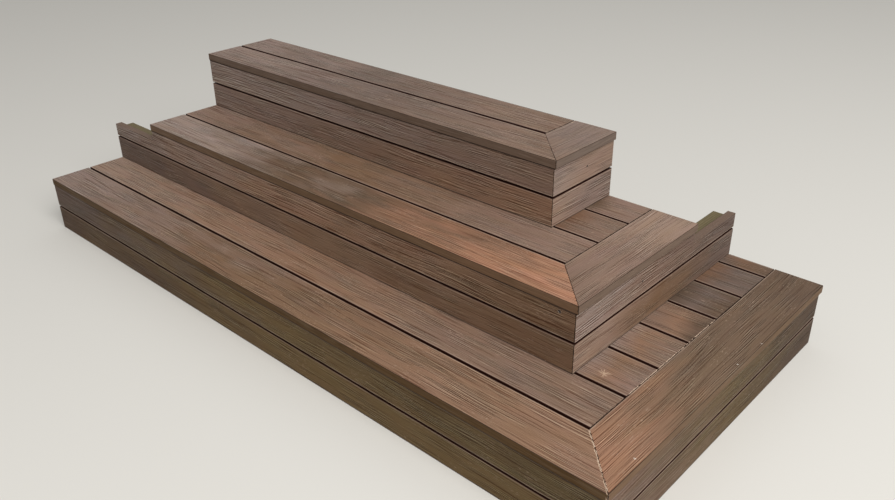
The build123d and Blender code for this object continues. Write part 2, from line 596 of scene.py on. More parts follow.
    def _nosing_edge(self, at: LaidTree, coloured: Node) -> Node:
        """Adds the outer edge of a nosing, which is plain below the painted shade on its arris.

        Args:
            at: The board's tree.
            coloured: The colour of the rest.

        Returns:
            The node that gives the colour.
        """
        tree = at.tree
        outward = add_node(tree, MATH, {0: at.facing["Y"], 1: -1.0}, operation="MULTIPLY")
        # The rounded arris above the plain edge is painted dark: painted shade
        plain = add_node(tree, RAMP, {0: outward}, ((0.9, PAINTED_ARRIS_SHADE), (0.97, self.edge_colour)))
        shade = at.patches(at.flowing, (60, 5), (0.3, 0.7), (0.85, 1.15))
        shaded = add_node(tree, VECTOR_MATH, {0: plain, "Scale": shade}, operation="SCALE")
        over = add_node(tree, MAP_RANGE, {
            "Value": outward, "From Min": 0.3, "From Max": 0.5, "To Max": 0.88,
        })
        return add_node(tree, MIX, {"Factor": over, "A": coloured, "B": shaded}, data_type="RGBA")

    def _marked_colour(self, at: LaidTree, edged: Node) -> Node:
        """Adds the cut lines and the scuffs.

        Args:
            at: The board's tree.
            edged: The colour so far.

        Returns:
            The node that gives the colour.
        """
        tree = at.tree
        bites = add_node(tree, NOISE, {"Vector": at.place, "Scale": self.sawn_bite_per_m, "Detail": 3.0})
        rough = add_node(tree, MATH, {0: bites, 1: 0.5}, operation="SUBTRACT")
        marked = edged
        for line in self.lines:
            along = add_node(tree, VECTOR_MATH, {0: at.place, 1: line.normal}, operation="DOT_PRODUCT")
            away = add_node(tree, MATH, {0: along.outputs["Value"], 1: line.offset}, operation="SUBTRACT")
            distance = add_node(tree, MATH, {0: away}, operation="ABSOLUTE")
            mask = self._ragged_mask(at, distance, rough, line.width_mm, line.sparseness, line.amount)
            marked = add_node(tree, MIX, {
                "Factor": mask, "A": marked, "B": linear(line.colour),
            }, data_type="RGBA")
        for scuff in self.scuffs:
            away = add_node(tree, VECTOR_MATH, {0: at.place, 1: scuff.place}, operation="SUBTRACT")
            distance = add_node(tree, VECTOR_MATH, {0: away}, operation="LENGTH").outputs["Value"]
            aim = add_node(tree, VECTOR_MATH, {0: away}, operation="NORMALIZE")
            rays = add_node(tree, NOISE, {"Vector": aim, "Scale": 2.6, "Detail": 2.0})
            ray = add_node(tree, MATH, {0: rays, 1: 0.5}, operation="SUBTRACT")
            mask = self._ragged_mask(at, distance, ray, scuff.radius_mm, scuff.sparseness, scuff.amount)
            marked = add_node(tree, MIX, {
                "Factor": mask, "A": marked, "B": linear(scuff.colour),
            }, data_type="RGBA")
        return marked

    def _ragged_mask(
        self, at: LaidTree, distance: Source, rough: Node, reach_mm: float, sparseness: float, amount: float,
    ) -> Node:
        """Adds the mask of one mark.

        Args:
            at: The board's tree.
            distance: How far each point is from the middle of the mark.
            rough: Noise round 0 that breaks up its outline.
            reach_mm: How far it reaches.
            sparseness: How little of it is left, from -0.3 for all of it to 1.3 for a few spots.
            amount: How far it covers the colour below.

        Returns:
            The node that gives the mask.
        """
        tree = at.tree
        near = add_node(tree, MAP_RANGE, {
            "Value": distance, "From Max": reach_mm * MM, "To Min": 1.0, "To Max": 0.0,
        })
        ragged = add_node(tree, MATH, {0: rough, 1: 2.4, 2: near}, operation="MULTIPLY_ADD")
        covered = add_node(tree, MAP_RANGE, {
            "Value": ragged, "From Min": sparseness, "From Max": sparseness + 0.2, "To Max": amount,
        })
        within = add_node(tree, MAP_RANGE, {"Value": near, "From Max": 0.15})
        return add_node(tree, MATH, {0: covered, 1: within}, operation="MULTIPLY")


@dataclass(frozen=True)
class TimberFinish:
    """Dressed pine, pressure treated and aged.

    The preservative leaves a greenish straw colour that weathers to a dull brown, darkened further as
    painted shade, and the planer leaves a smooth face with soft growth rings.
    """

    name: str
    lay: Lay
    seed: float
    ring_pitch_mm: float = 6.0
    sway_per_m: Triple = (3.0, 12.0, 12.0)
    fibre_per_m: Triple = (25.0, 600.0, 600.0)
    seed_step: Triple = (3.1, 0.61, 0.37)

    def build(self) -> Material:
        """Builds the material.

        Returns:
            The material, with growth rings that show as lines along the faces and as arcs on the ends.
        """
        material, tree = new_material(f"treated_pine_{self.name}")
        place = add_node(tree, "ShaderNodeTexCoord").outputs["Object"]
        offset = tuple(self.seed * step for step in self.seed_step)
        laid = add_node(tree, "ShaderNodeMapping", {
            "Vector": place, "Rotation": self.lay.turn, "Location": offset,
        })
        sway, fibre = (
            add_node(tree, NOISE, {
                "Vector": add_node(tree, VECTOR_MATH, {0: laid, 1: waves}, operation="MULTIPLY"),
                "Scale": 1.0, "Detail": 2.0,
            })
            for waves in (self.sway_per_m, self.fibre_per_m)
        )
        swayed = add_node(tree, VECTOR_MATH, {
            0: sway.outputs["Color"], 1: (0.0, 12 * MM, 12 * MM), 2: laid,
        }, operation="MULTIPLY_ADD")
        per_metre = math.pi / 10 / (self.ring_pitch_mm * MM)
        ringed = add_node(tree, VECTOR_MATH, {
            0: swayed, 1: (per_metre * 0.04, per_metre, per_metre),
        }, operation="MULTIPLY")
        ring = add_node(tree, "ShaderNodeTexWave", {
            "Vector": ringed, "Scale": 1.0, "Distortion": 1.5, "Detail": 2.0,
        }, wave_type="RINGS", rings_direction="X", wave_profile="SAW")
        # The browns are weathered and partly painted shade, darker than weathering alone
        wood = add_node(tree, RAMP, {0: ring.outputs["Fac"]}, stops=(
            (0.0, "#776a4f"), (1.0, "#554731"), (0.6, "#72654a"), (0.85, "#64573c"),
        ))
        tint = add_node(tree, RAMP, {0: fibre}, stops=((0.3, "#c9ccb8"), (0.7, "#ffffff")))
        colour = add_node(tree, MIX, {
            "Factor": 0.8, "A": wood, "B": tint,
        }, data_type="RGBA", blend_type="MULTIPLY")
        bump = add_node(tree, "ShaderNodeBump", {"Height": fibre, "Strength": 0.5, "Distance": 0.3 * MM})
        shader = add_node(tree, "ShaderNodeBsdfPrincipled", {
            "Base Color": colour, "Roughness": 0.75, "Normal": bump, "IOR": 1.5, "Specular IOR Level": 0.3,
        })
        add_node(tree, "ShaderNodeOutputMaterial", {"Surface": shader})
        return material


@dataclass(frozen=True)
class GrainyFinish:
    """A small part's finish: one colour broken up by a fine speckle, with a rough or a bright surface."""

    name: str
    dark: str
    pale: str
    roughness: float
    metallic: float = 0.0
    speckle_mm: float = 1.0

    def build(self) -> Material:
        """Builds the material.

        Returns:
            The material, its speckle as coarse as speckle_mm says.
        """
        material, tree = new_material(self.name)
        place = add_node(tree, "ShaderNodeTexCoord").outputs["Object"]
        speckle = add_node(tree, NOISE, {
            "Vector": place, "Scale": 1000 / self.speckle_mm, "Detail": 2.0,
        })
        colour = add_node(tree, RAMP, {0: speckle}, stops=(
            (0.35, self.dark), (0.65, self.pale),
        ))
        bump = add_node(tree, "ShaderNodeBump", {"Height": speckle, "Strength": 0.3, "Distance": 0.2 * MM})
        shader = add_node(tree, "ShaderNodeBsdfPrincipled", {
            "Base Color": colour, "Roughness": self.roughness, "Metallic": self.metallic, "Normal": bump,
        })
        add_node(tree, "ShaderNodeOutputMaterial", {"Surface": shader})
        return material


# Zinc-coated steel: dull, mottled grey
ZINC_COATED = GrainyFinish(
    "zinc_coated_steel_dipped", "#8f9394", "#b4b8b8", 0.45, metallic=1.0, speckle_mm=2.5,
)
# Stainless steel, cold formed and passivated: bright, slightly satin
STAINLESS = GrainyFinish("stainless_steel_formed", "#a8a6a2", "#c4c2be", 0.3, metallic=1.0)
# Glass-filled nylon, moulded: matt black
NYLON = GrainyFinish("glass_filled_nylon_moulded", "#151412", "#201f1c", 0.6)
# Composite torn by the saw: pale, fibrous wood flour without its skin
TORN_FIBRE = GrainyFinish("composite_torn_by_saw", "#a98d76", "#d2baa4", 0.85)
# Composite pushed up by a nail or screw: the board's own brown, roughened
RAISED_RIM = GrainyFinish("composite_raised_by_nail", "#7a6557", "#a58f80", 0.8)
# The unlit inside of a hole in composite
HOLE = GrainyFinish("composite_hole_painted_shade", "#120c09", "#1e1611", 0.9)


# Steps as read from the frame

@dataclass(frozen=True)
class Step:
    """One step's edges, read from its nosings."""

    name: str
    right: float
    front: float
    top: float
    underside: float
    board: float

    @classmethod
    def read(cls, name: str) -> "Step":
        """Reads one step.

        Args:
            name: The first word of its nodes' names.

        Returns:
            The step, as the frame has it.
        """
        low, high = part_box(f"{name}_front_nosing")
        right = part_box(f"{name}_side_nosing")[1].x
        return cls(name, right, low.y, high.z, low.z, high.y - low.y)

    @property
    def mitre(self) -> tuple[Triple, float]:
        """The upright plane of the mitre: its normal and its distance from the origin."""
        half = math.sqrt(0.5)
        return (half, half, 0.0), half * (self.right + self.front)

    @property
    def rows(self) -> list[str]:
        """The nodes of its boards that run across, from front to back."""
        treads = sorted(node for node in frame["nodes"] if node.startswith(f"{self.name}_tread_board_"))
        return [f"{self.name}_front_nosing", *treads]

    def on_top(self, from_right_mm: float, from_front_mm: float) -> Triple:
        """A place on its tread, by the distances from its right and its front edge."""
        return (self.right - from_right_mm * MM, self.front + from_front_mm * MM, self.top)

    @property
    def joist_centres(self) -> list[float]:
        """Where its joists lie along X, found from their side faces.

        Returns:
            The place halfway between the left and the right face of each joist.
        """
        faces = frame["nodes"][f"{self.name}_joists"].data.polygons
        lefts = sorted({round(face.center.x, 4) for face in faces if face.normal.x < -0.99})
        rights = sorted({round(face.center.x, 4) for face in faces if face.normal.x > 0.99})
        return [(left + right) / 2 for left, right in zip(lefts, rights)]


STEP_NAMES = ("bottom", "middle", "top")


# Small parts, copied to their seats

@dataclass(frozen=True)
class Seat:
    """A place on a surface, and the way out of that surface there."""

    place: Vector
    facing: Vector


@dataclass(frozen=True)
class SmallPart(ABC):
    """A part too small for the solids, copied to its seats by a Geometry Nodes tree.

    A subclass holds its sizes, each a named input of the tree, and makes one copy that stands on the origin
    with its outer side up. The copies are turned by chance between two angles in radians.
    """

    turn_from: float = 0.0
    turn_to: float = 0.0

    @abstractmethod
    def one_copy(self, tree: NodeTree, size: Any) -> Node:
        """Adds the nodes of one copy.

        Args:
            tree: The Geometry Nodes tree.
            size: The group input's outputs, one for each size, in metres.

        Returns:
            The node that gives the copy.
        """

    def points(self, tree: NodeTree, size: Any) -> Source:
        """Takes the seats themselves as the points that get a copy."""
        return size["Seats"]

    def scale(self, tree: NodeTree) -> Triple | Node:
        """The scale of the copies: all alike."""
        return (1.0, 1.0, 1.0)

    def edges(self, count: int) -> list[tuple[int, int]]:
        """The edges between that many seats: none."""
        return []

    def build(self, name: str, seats: Sequence[Seat], finish: GrainyFinish, slot: str) -> None:
        """Sets the copies on their seats as one plain mesh and lets it ride on the steps.

        Args:
            name: The piece's name.
            seats: Where the copies stand.
            finish: What they are made of.
            slot: The record's slot for that; not used.
        """
        mesh = bpy.data.meshes.new(f"{name}_seats")
        mesh.from_pydata([seat.place for seat in seats], self.edges(len(seats)), [])
        facing = mesh.attributes.new("facing", "FLOAT_VECTOR", "POINT")
        facing.data.foreach_set("vector", [value for seat in seats for value in seat.facing])
        piece = bpy.data.objects.new(name, mesh)
        bpy.context.scene.collection.objects.link(piece)
        tree = self._tree(name, finish.build())
        modifier = piece.modifiers.new("copies", "NODES")
        modifier.node_group = tree
        sizes = self._sizes()
        for item in tree.interface.items_tree:
            if item.name in sizes:
                modifier[item.identifier] = sizes[item.name]
        bpy.context.view_layer.update()
        evaluated = piece.evaluated_get(bpy.context.evaluated_depsgraph_get())
        copies = bpy.data.meshes.new_from_object(evaluated)
        copies.name = name
        piece.modifiers.remove(modifier)
        piece.data = copies
        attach(piece, "root")
        log.info("set %s at %d seats, %d faces", name, len(seats), len(copies.polygons))

    def _sizes(self) -> dict[str, float]:
        """Each field by its name, the millimetres turned to metres."""
        scales = {item.name: MM if item.name.endswith("_mm") else 1.0 for item in fields(self)}
        return {name: getattr(self, name) * scale for name, scale in scales.items()}

    def _tree(self, name: str, material: Material) -> NodeTree:
        """Builds the tree that sets the copies.

        Args:
            name: The tree's name.
            material: What the copies are made of.

        Returns:
            The tree.
        """
        tree = bpy.data.node_groups.new(name, "GeometryNodeTree")
        tree.interface.new_socket("Seats", in_out="INPUT", socket_type="NodeSocketGeometry")
        for size in self._sizes():
            tree.interface.new_socket(size, in_out="INPUT", socket_type="NodeSocketFloat")
        tree.interface.new_socket("Copies", in_out="OUTPUT", socket_type="NodeSocketGeometry")
        size = add_node(tree, "NodeGroupInput").outputs
        outward = add_node(tree, "GeometryNodeInputNamedAttribute", {
            "Name": "facing",
        }, data_type="FLOAT_VECTOR")
        upright = add_node(tree, "FunctionNodeAlignRotationToVector", {"Vector": outward}, axis="Z")
        angle = add_node(tree, "FunctionNodeRandomValue", {
            "Min": size["turn_from"], "Max": size["turn_to"], "Seed": RNG_SEED,
        })
        turn = add_node(tree, "FunctionNodeAxisAngleToRotation", {"Axis": (0.0, 0.0, 1.0), "Angle": angle})
        turned = add_node(tree, "FunctionNodeRotateRotation", {
            "Rotation": upright, "Rotate By": turn,
        }, rotation_space="LOCAL")
        copies = add_node(tree, "GeometryNodeInstanceOnPoints", {
            "Points": self.points(tree, size), "Instance": self.one_copy(tree, size), "Rotation": turned,
            "Scale": self.scale(tree),
        })
        whole = add_node(tree, "GeometryNodeRealizeInstances", {"Geometry": copies})
        finished = add_node(tree, "GeometryNodeSetMaterial", {"Geometry": whole, "Material": material})
        add_node(tree, "NodeGroupOutput", {"Copies": finished})
        return tree

    def _lifted(self, tree: NodeTree, geometry: Source, height: Source) -> Node:
        """The geometry moved up by the height."""
        offset = add_node(tree, "ShaderNodeCombineXYZ", {"Z": height})
        return add_node(tree, "GeometryNodeTransform", {"Geometry": geometry, "Translation": offset})


@dataclass(frozen=True)
class SunkScrew(SmallPart):
    """A countersunk screw with a six-sided drive recess, its head almost flush."""

    head_radius_mm: float = 4.6
    neck_radius_mm: float = 2.3
    head_depth_mm: float = 3.5
    drive_radius_mm: float = 2.2
    drive_height_mm: float = 3.6
    proud_mm: float = 0.2
    turn_to: float = math.tau

    def one_copy(self, tree: NodeTree, size: Any) -> Node:
        """Adds a cone with its wide end up, and cuts a prism half its height into it.

        Args:
            tree: The Geometry Nodes tree.
            size: The group input's outputs.

        Returns:
            The node that gives the screw.
        """
        head = add_node(tree, "GeometryNodeMeshCone", {
            "Vertices": 24, "Radius Top": size["head_radius_mm"], "Radius Bottom": size["neck_radius_mm"],
            "Depth": size["head_depth_mm"],
        })
        prism = add_node(tree, "GeometryNodeMeshCylinder", {
            "Vertices": 6, "Radius": size["drive_radius_mm"], "Depth": size["drive_height_mm"],
        })
        driven = add_node(tree, "GeometryNodeMeshBoolean", {
            "Mesh 1": head, "Mesh 2": self._lifted(tree, prism, size["head_depth_mm"]),
        }, operation="DIFFERENCE", solver="EXACT")
        drop = add_node(tree, MATH, {
            0: size["proud_mm"], 1: size["head_depth_mm"],
        }, operation="SUBTRACT")
        return self._lifted(tree, driven, drop)


@dataclass(frozen=True)
class BoardClip(SmallPart):
    """A hidden clip: a plate that reaches into two boards' grooves, on a stem that stands on a joist."""

    length_mm: float = 24.0
    plate_width_mm: float = 20.0
    plate_height_mm: float = 3.0
    corner_mm: float = 2.5
    stem_length_mm: float = 18.0
    stem_width_mm: float = 4.6
    stem_height_mm: float = 8.6

    def one_copy(self, tree: NodeTree, size: Any) -> Node:
        """Adds the plate with rounded corners, and the stem below it.

        Args:
            tree: The Geometry Nodes tree.
            size: The group input's outputs.

        Returns:
            The node that gives the clip.
        """
        outline = add_node(tree, "GeometryNodeCurvePrimitiveQuadrilateral", {
            "Width": size["length_mm"], "Height": size["plate_width_mm"],
        })
        rounded = add_node(tree, "GeometryNodeFilletCurve", {
            "Curve": outline, "Radius": size["corner_mm"], "Count": 4,
        }, mode="POLY")
        base = add_node(tree, "GeometryNodeFillCurve", {"Curve": rounded}, mode="NGONS")
        thickness = add_node(tree, "ShaderNodeCombineXYZ", {"Z": size["plate_height_mm"]})
        raised = add_node(tree, "GeometryNodeExtrudeMesh", {
            "Mesh": base, "Offset": thickness, "Offset Scale": 1.0, "Individual": False,
        })
        under = add_node(tree, "GeometryNodeFlipFaces", {"Mesh": base})
        plate = add_node(tree, "GeometryNodeMergeByDistance", {
            "Geometry": add_node(tree, "GeometryNodeJoinGeometry", {"Geometry": [raised, under]}),
            "Distance": 0.01 * MM,
        })
        block = add_node(tree, "ShaderNodeCombineXYZ", {
            "X": size["stem_length_mm"], "Y": size["stem_width_mm"], "Z": size["stem_height_mm"],
        })
        stem = add_node(tree, "GeometryNodeMeshCube", {"Size": block})
        half = add_node(tree, MATH, {0: size["stem_height_mm"], 1: 0.5}, operation="MULTIPLY")
        return add_node(tree, "GeometryNodeJoinGeometry", {"Geometry": [
            self._lifted(tree, plate, size["stem_height_mm"]), self._lifted(tree, stem, half),
        ]})


@dataclass(frozen=True)
class HoleRim(SmallPart):
    """The low rim that a nail or a sunk screw pushes up round its hole."""

    radius_mm: float = 3.0
    bead_radius_mm: float = 1.0

    def one_copy(self, tree: NodeTree, size: Any) -> Node:
        """Sweeps a bead round the hole, half of it under the surface.

        Args:
            tree: The Geometry Nodes tree.
            size: The group input's outputs.

        Returns:
            The node that gives the rim.
        """
        path, bead = (
            add_node(tree, "GeometryNodeCurvePrimitiveCircle", {"Resolution": corners, "Radius": radius})
            for corners, radius in ((20, size["radius_mm"]), (8, size["bead_radius_mm"]))
        )
        ring = add_node(tree, "GeometryNodeCurveToMesh", {"Curve": path, "Profile Curve": bead})
        return add_node(tree, "GeometryNodeTransform", {"Geometry": ring, "Scale": (1.0, 1.0, 0.6)})


@dataclass(frozen=True)
class HoleFloor(SmallPart):
    """The dark mouth of a hole: a disc of painted shade inside its rim."""

    radius_mm: float = 2.6
    height_mm: float = 0.3

    def one_copy(self, tree: NodeTree, size: Any) -> Node:
        """Adds a thin disc, half of it under the surface.

        Args:
            tree: The Geometry Nodes tree.
            size: The group input's outputs.

        Returns:
            The node that gives the disc.
        """
        return add_node(tree, "GeometryNodeMeshCylinder", {
            "Vertices": 20, "Radius": size["radius_mm"], "Depth": size["height_mm"],
        })


@dataclass(frozen=True)
class Slivers(SmallPart):
    """Fibres that the saw tore up along a cut, strewn along the line from each even seat to the next.

    They lie in clumps as long as clump_mm, and bareness says how much of the line is left without any.
    """

    length_mm: float = 5.0
    width_mm: float = 1.8
    height_mm: float = 0.8
    spacing_mm: float = 1.6
    spread_mm: float = 1.8
    clump_mm: float = 14.0
    bareness: float = 0.47

    def edges(self, count: int) -> list[tuple[int, int]]:
        """One edge for each pair of seats."""
        return [(start, start + 1) for start in range(0, count, 2)]

    def points(self, tree: NodeTree, size: Any) -> Source:
        """Sets points along each line, strews them sideways and leaves some out.

        Args:
            tree: The Geometry Nodes tree.
            size: The group input's outputs.

        Returns:
            The node that gives the points.
        """
        line = add_node(tree, "GeometryNodeMeshToCurve", {"Mesh": size["Seats"]})
        even = add_node(tree, "GeometryNodeResampleCurve", {
            "Curve": line, "Length": size["spacing_mm"],
        }, mode="LENGTH")
        aside = add_node(tree, "FunctionNodeRandomValue", {
            "Min": (-1.0, -1.0, 0.0), "Max": (1.0, 1.0, 0.0), "Seed": RNG_SEED + 1,
        }, data_type="FLOAT_VECTOR")
        spread = add_node(tree, VECTOR_MATH, {
            0: aside, "Scale": size["spread_mm"],
        }, operation="SCALE")
        strewn = add_node(tree, "GeometryNodeSetPosition", {"Geometry": even, "Offset": spread})
        fineness = add_node(tree, MATH, {0: 1.0, 1: size["clump_mm"]}, operation="DIVIDE")
        clump = add_node(tree, NOISE, {
            "Vector": add_node(tree, "GeometryNodeInputPosition"), "Scale": fineness, "Detail": 1.0,
        })
        bare = add_node(tree, MATH, {0: clump, 1: size["bareness"]}, operation="LESS_THAN")
        return add_node(tree, "GeometryNodeDeleteGeometry", {"Geometry": strewn, "Selection": bare})

    def scale(self, tree: NodeTree) -> Triple | Node:
        """Makes some copies small and some long.

        Args:
            tree: The Geometry Nodes tree.

        Returns:
            The node that gives a scale by chance.
        """
        return add_node(tree, "FunctionNodeRandomValue", {
            "Min": (0.4, 0.6, 0.5), "Max": (1.3, 1.4, 1.2), "Seed": RNG_SEED + 3,
        }, data_type="FLOAT_VECTOR")

    def one_copy(self, tree: NodeTree, size: Any) -> Node:
        """Dents a pebble and stretches it to a sliver.

        Args:
            tree: The Geometry Nodes tree.
            size: The group input's outputs.

        Returns:
            The node that gives the sliver.
        """
        pebble = add_node(tree, "GeometryNodeMeshIcoSphere", {"Radius": 0.5, "Subdivisions": 1})
        dent = add_node(tree, NOISE, {"Scale": 3.0})
        dented = add_node(tree, "GeometryNodeSetPosition", {
            "Geometry": pebble,
            "Offset": add_node(tree, VECTOR_MATH, {
                0: dent.outputs["Color"], 1: (0.8, 0.8, 0.8), 2: (-0.4, -0.4, -0.4),
            }, operation="MULTIPLY_ADD"),
        })
        stretch = add_node(tree, "ShaderNodeCombineXYZ", {
            "X": size["length_mm"], "Y": size["width_mm"], "Z": size["height_mm"],
        })
        return add_node(tree, "GeometryNodeTransform", {"Geometry": dented, "Scale": stretch})


# Sub-assemblies

@dataclass
class Boards:
    """The treads, nosings and risers of one step, each dressed in its own board's finish."""

    step: Step
    looks: dict[str, Look]
    seed: float
    mitre: dict[str, tuple[CutLine, ...]]
    edge_colours: dict[str, str]
    scuffs: dict[str, tuple[Scuff, ...]] = field(default_factory=dict)
    line_mm: float = 2.3
    least_riser_line_mm: float = 2.6
    soiled_mm: float = 3.0
    soiled_elsewhere_mm: float = 1.6

    def dress(self) -> None:
        """Gives every board of the step its material."""
        for number, (part, look) in enumerate(self.looks.items()):
            node = f"{self.step.name}_{part}"
            low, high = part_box(node)
            lay = self._lay(part)
            finish = BoardFinish(
                name=node, lay=lay, look=look, low=low, high=high, seed=self.seed + number,
                is_nosing=part.endswith("nosing"),
                line_mm=max(self.line_mm, self.least_riser_line_mm) if "riser" in part else self.line_mm,
                soiled_mm=self.soiled_mm if lay is Lay.TREAD_ACROSS else self.soiled_elsewhere_mm,
                edge_colour=self.edge_colours.get(part, PLAIN_EDGE),
                lines=self._lines(part, low, high), scuffs=self.scuffs.get(part, ()),
            )
            frame["nodes"][node].material_slots[0].material = finish.build()
            log.info("dressed %s", node)

    @staticmethod
    def _lay(part: str) -> Lay:
        """Finds how a board lies.

        Args:
            part: The board's name without its step.

        Returns:
            Its lay.
        """
        if "riser" in part:
            return Lay.RISER_SIDE if part.startswith("side") else Lay.RISER_FRONT
        return Lay.TREAD_DEEP if part.startswith("side") else Lay.TREAD_ACROSS

    def _lines(self, part: str, low: Vector, high: Vector) -> tuple[CutLine, ...]:
        """Finds the cut lines of one board.

        Args:
            part: The board's name without its step.
            low: The board's lowest corner.
            high: The board's highest corner.

        Returns:
            The torn lines, and the dark lines of dirt and painted shade, along its cuts and joints.
        """
        if part.endswith("nosing"):
            return self.mitre.get(part, ())
        if "riser" in part:
            # A front riser's dark corner line is painted shade in the mitre; a side riser's is torn pale
            corner = CutLine(tuple(RIGHT), high.x, width_mm=3.0, colour=DIRT_AND_SHADE, amount=0.85, sparseness=0.3)
            if part.startswith("side"):
                corner = CutLine(tuple(BACK), low.y, width_mm=3.5, colour=TORN, amount=0.45, sparseness=0.8)
            # Painted shade: shadow under the nosing at an upper board's top, contact shade at a lower's foot
            joint = high.z if part.endswith("upper") else low.z
            seam = CutLine(tuple(UP), joint, width_mm=4.0, colour=DIRT_AND_SHADE, amount=0.7, sparseness=-0.3)
            return (corner, seam)
        # A tread board's end by the side nosing gets a dark line of dirt and painted shade
        return (CutLine(tuple(RIGHT), high.x, width_mm=2.4, colour=DIRT_AND_SHADE, amount=0.75, sparseness=0.7),)


@dataclass
class TimberFrame:
    """The bearers, joists and stubs below the boards, with the screws that hold the joists."""

    steps: Sequence[Step]
    seed: float = 40.0
    screw: SunkScrew = SunkScrew()
    screw_edge_share: float = 0.27

    def build(self) -> None:
        """Gives every timber its material, with the grain along it, and sets the screws."""
        timbers = [name for name in sorted(frame["nodes"]) if name.endswith(("bearer", "joists", "stub"))]
        for number, node in enumerate(timbers):
            runs_deep = node.endswith(("joists", "side_stub"))
            lay = Lay.TREAD_DEEP if runs_deep else Lay.TREAD_ACROSS
            finish = TimberFinish(node, lay, self.seed + number)
            frame["nodes"][node].material_slots[0].material = finish.build()
            log.info("dressed %s", node)
        self.screw.build("frame_screws", self._screw_seats(), ZINC_COATED, "screw_steel")

    def _screw_seats(self) -> list[Seat]:
        """Finds where the frame's screws stand. The bottom step has none, as its back lies flat on a wall.

        Returns:
            Two seats for each joist, one above the other on the back of the rear bearer.
        """
        seats = []
        for step in self.steps[1:]:
            low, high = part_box(f"{step.name}_rear_bearer")
            inset = (high.z - low.z) * self.screw_edge_share
            seats += [
                Seat(Vector((centre, high.y, height)), BACK)
                for centre in step.joist_centres
                for height in (low.z + inset, high.z - inset)
            ]
        return seats


@dataclass
class BoardFixings:
    """What holds the boards: a clip and its screw where a gap crosses a joist, and what the risers show."""

    steps: Sequence[Step]
    clip: BoardClip = BoardClip()
    clip_screw: SunkScrew = SunkScrew(
        head_radius_mm=2.2, neck_radius_mm=1.4, head_depth_mm=2.0, drive_radius_mm=1.1, drive_height_mm=1.8,
        proud_mm=1.3,
    )
    riser_screw: SunkScrew = SunkScrew(
        head_radius_mm=2.1, neck_radius_mm=1.4, head_depth_mm=1.5, drive_radius_mm=0.6, drive_height_mm=1.2,
        proud_mm=0.5,
    )
    screw_hole: HoleFloor = HoleFloor(radius_mm=4.4)
    screw_rim: HoleRim = HoleRim(radius_mm=4.6, bead_radius_mm=0.5)
    nail_hole: HoleFloor = HoleFloor(radius_mm=3.2)
    nail_rim: HoleRim = HoleRim(radius_mm=3.4, bead_radius_mm=0.5)
    riser_screw_from_corner_mm: float = 46.0
    riser_screw_below_nosing_mm: float = 13.0
    riser_screw_aside_mm: float = 1.9
    top_nail_from_corner_mm: float = 148.0
    middle_nail_from_corner_mm: float = 286.0
    nail_above_gap_mm: float = 39.0

    def build(self) -> None:
        """Sets the clips, the screws and the holes."""
        seats = self._clip_seats()
        above = Vector((0.0, 0.0, (self.clip.stem_height_mm + self.clip.plate_height_mm) * MM))
        self.clip.build("board_clips", seats, NYLON, "clip_nylon")
        screw_seats = [Seat(seat.place + above, UP) for seat in seats]
        self.clip_screw.build("clip_screws", screw_seats, STAINLESS, "screw_steel")
        screw = [self._riser_screw_seat()]
        self.screw_hole.build("riser_screw_hole", screw, HOLE, "riser_board")
        self.screw_rim.build("riser_screw_rim", screw, RAISED_RIM, "riser_board")
        aside = self.riser_screw_aside_mm * MM
        low_in_hole = [Seat(seat.place - Vector((aside, 0.0, aside)), seat.facing) for seat in screw]
        self.riser_screw.build("riser_screw", low_in_hole, STAINLESS, "screw_steel")
        nails = [
            self._nail_seat("top", self.top_nail_from_corner_mm),
            self._nail_seat("middle", self.middle_nail_from_corner_mm),
        ]
        self.nail_hole.build("nail_holes", nails, HOLE, "riser_board")
        self.nail_rim.build("nail_hole_rims", nails, RAISED_RIM, "riser_board")

    def _clip_seats(self) -> list[Seat]:
        """Finds where the clips stand.

        Returns:
            A seat on each joist in each gap between two rows, kept inside the ends of the row behind it.
        """
        inset = self.clip.length_mm * MM / 2
        seats = []
        for step in self.steps:
            for near, far in zip(step.rows, step.rows[1:]):
                near_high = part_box(near)[1]
                low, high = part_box(far)
                gap_centre = (near_high.y + low.y) / 2
                crossed = [x for x in step.joist_centres if low.x - inset < x < high.x + inset]
                places = [min(max(x, low.x + inset), high.x - inset) for x in crossed]
                seats += [Seat(Vector((x, gap_centre, step.underside)), UP) for x in places]
        return seats

    def _riser_screw_seat(self) -> Seat:
        """Finds where the screw stands that shows on the middle riser.

        Returns:
            The seat near the riser's corner, just under the nosing.
        """
        low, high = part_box("middle_front_riser_upper")
        x = high.x - self.riser_screw_from_corner_mm * MM
        return Seat(Vector((x, low.y, high.z - self.riser_screw_below_nosing_mm * MM)), FRONT)

    def _nail_seat(self, step: str, from_corner_mm: float) -> Seat:
        """Finds where a nail went into a side riser.

        Args:
            step: The step's name.
            from_corner_mm: How far back from the riser's front corner it is.

        Returns:
            The seat on the upper board.
        """
        low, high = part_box(f"{step}_side_riser_upper")
        height = low.z + self.nail_above_gap_mm * MM
        return Seat(Vector((high.x, low.y + from_corner_mm * MM, height)), RIGHT)


